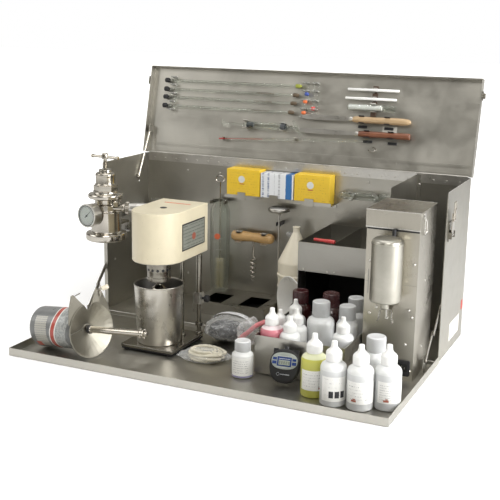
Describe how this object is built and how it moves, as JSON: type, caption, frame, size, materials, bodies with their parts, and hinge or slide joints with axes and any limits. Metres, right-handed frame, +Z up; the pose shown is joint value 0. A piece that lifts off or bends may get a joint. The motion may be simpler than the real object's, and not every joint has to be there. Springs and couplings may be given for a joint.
{
  "type": "portable fluid test kit",
  "caption": "Drop-front sheet-steel test case with a folding lid, a stirring viscometer, filter press, retort, burner, glassware and reagent bottles set out on its front tray.",
  "frame": {"origin": "middle of the case's footprint on its underside", "axes": "+X to the right seen from the open front, +Y to the back, +Z up; the folded-down front lies on -Y"},
  "size_m": [0.86, 0.6378, 0.587],
  "materials": {
    "case_steel": "brushed stainless sheet with hazy reflections",
    "bright_steel": "polished stainless and chrome",
    "cream_paint": "cream enamel",
    "grey_paint": "grey enamel with plain label patches",
    "cast_aluminium": "blasted aluminium",
    "clear_glass": "clear glass",
    "white_plastic": "semi-translucent white bottle plastic",
    "cream_plastic": "cream moulded plastic",
    "black_plastic": "black moulded plastic",
    "amber_plastic": "amber bottle with maroon cap",
    "yellow_card": "printed card box, plain panels",
    "light_wood": "turned hardwood",
    "red_wood": "turned red-brown hardwood",
    "white_cord": "twisted cotton cord",
    "clear_film": "clear plastic film bag"
  },
  "bodies": {
    "case": {"cabinet_box": "case_steel", "case_shell": "case_steel", "corkscrew": "light_wood", "dial_thermometer": "bright_steel", "divider_panel": "case_steel", "door_piano_hinge": "bright_steel", "latch_base_left": "bright_steel", "latch_base_right": "bright_steel", "lid_piano_hinge": "bright_steel", "plastic_funnel": "white_plastic", "press_bracket": "case_steel", "rack_plate": "case_steel", "receiver_tube": "clear_glass", "sand_tube": "clear_glass", "sieve_collar": "cream_plastic", "sieve_funnel": "cream_plastic", "strip_box_rail": "case_steel", "test_strip_box_1": "yellow_card", "test_strip_box_2": "yellow_card", "test_strip_box_3": "yellow_card", "tube_brush": "bright_steel"},
    "lid": {"lid_shell": "case_steel", "pipette": "clear_glass", "syringe": "clear_glass", "glass_thermometer": "clear_glass", "stirring_rod": "white_plastic", "spatula_1": "light_wood", "spatula_2": "red_wood"},
    "lid_stay": {"lid_stay_arm": "bright_steel"},
    "door": {"door_panel": "case_steel"},
    "door_stay_upper": {"door_stay_upper": "bright_steel"},
    "door_stay_lower": {"door_stay_lower": "bright_steel"},
    "latch_left": {"latch_lever_left": "bright_steel"},
    "latch_right": {"latch_lever_right": "bright_steel"},
    "bench_items": {"viscometer_stand": "case_steel", "viscometer_head": "cream_paint", "viscometer_cup": "bright_steel", "retort_housing": "case_steel", "retort_chamber": "cast_aluminium", "burner_can": "grey_paint", "burner_shield": "case_steel", "burner_tube": "bright_steel", "stopwatch": "black_plastic", "cord_coil": "white_cord", "sample_bag": "clear_film", "dropper_bottle_1": "white_plastic", "dropper_bottle_2": "white_plastic", "dropper_bottle_3": "white_plastic", "dropper_bottle_4": "white_plastic", "small_bottle": "white_plastic"},
    "viscometer_rotor": {"viscometer_rotor": "bright_steel"},
    "retort_lid": {"retort_lid": "case_steel"},
    "reagent_tray": {"reagent_tray": "case_steel", "tray_bottle_1": "white_plastic", "tray_bottle_2": "white_plastic", "tray_bottle_3": "amber_plastic"},
    "filter_press": {"press_cell": "bright_steel", "press_gauge": "bright_steel", "press_charger": "bright_steel"},
    "press_screw": {"press_t_screw": "bright_steel"}
  },
  "joints": [
    {"name": "door_hinge", "type": "hinge", "parent": "case", "child": "door", "pos_m": [0, -0.1092, 0.0016], "axis": [-1, 0, 0], "range_deg": [0, 90]},
    {"name": "lid_hinge", "type": "hinge", "parent": "case", "child": "lid", "pos_m": [0, 0.1045, 0.3702], "axis": [1, 0, 0], "range_deg": [0, 103.2]},
    {"name": "lid_stay_pivot", "type": "hinge", "parent": "lid", "child": "lid_stay", "pos_m": [-0.412, 0.1101, 0.43], "axis": [1, 0, 0], "range_deg": [-68.3, 1]},
    {"name": "door_stay_upper_pivot", "type": "hinge", "parent": "case", "child": "door_stay_upper", "pos_m": [0.4142, -0.1, 0.122], "axis": [1, 0, 0], "range_deg": [-1, 143.39]},
    {"name": "door_stay_lower_pivot", "type": "hinge", "parent": "door", "child": "door_stay_lower", "pos_m": [0.4112, -0.19, 0.031], "axis": [1, 0, 0], "range_deg": [-1, 94.03]},
    {"name": "latch_left_pivot", "type": "hinge", "parent": "case", "child": "latch_left", "pos_m": [-0.4235, -0.077, 0.275], "axis": [0, -1, 0], "range_deg": [0, 95]},
    {"name": "latch_right_pivot", "type": "hinge", "parent": "case", "child": "latch_right", "pos_m": [0.4235, -0.077, 0.275], "axis": [0, 1, 0], "range_deg": [0, 95]},
    {"name": "bench_lift", "type": "slide", "parent": "case", "child": "bench_items", "axis": [0, 0, 1], "range_m": [0, 0.665]},
    {"name": "press_unhook", "type": "slide", "parent": "case", "child": "filter_press", "axis": [0, 0, 1], "range_m": [0, 0.665]},
    {"name": "rotor_spin", "type": "hinge", "parent": "bench_items", "child": "viscometer_rotor", "pos_m": [-0.162, -0.286, 0.15], "axis": [0, 0, 1], "continuous": true},
    {"name": "retort_lid_hinge", "type": "hinge", "parent": "bench_items", "child": "retort_lid", "pos_m": [0.345, -0.1209, 0.3474], "axis": [-1, 0, 0], "range_deg": [0, 100]},
    {"name": "reagent_tray_slide", "type": "slide", "parent": "bench_items", "child": "reagent_tray", "axis": [0, 1, 0], "range_m": [0, 0.237]},
    {"name": "regulator_screw_turn", "type": "hinge", "parent": "filter_press", "child": "press_screw", "pos_m": [-0.372, -0.166, 0.38], "axis": [0, 0, 1], "range_deg": [-360, 360]}
  ],
  "couplings": [
    {"joint": "lid_stay_pivot", "follows": "lid_hinge", "ratio": -0.6473},
    {"joint": "door_stay_upper_pivot", "follows": "door_hinge", "ratio": 1.5709},
    {"joint": "door_stay_lower_pivot", "follows": "door_hinge", "ratio": 1.0226},
    {"joint": "bench_lift", "follows": "door_hinge", "m_per_rad": 0.42},
    {"joint": "press_unhook", "follows": "door_hinge", "m_per_rad": 0.42}
  ]
}
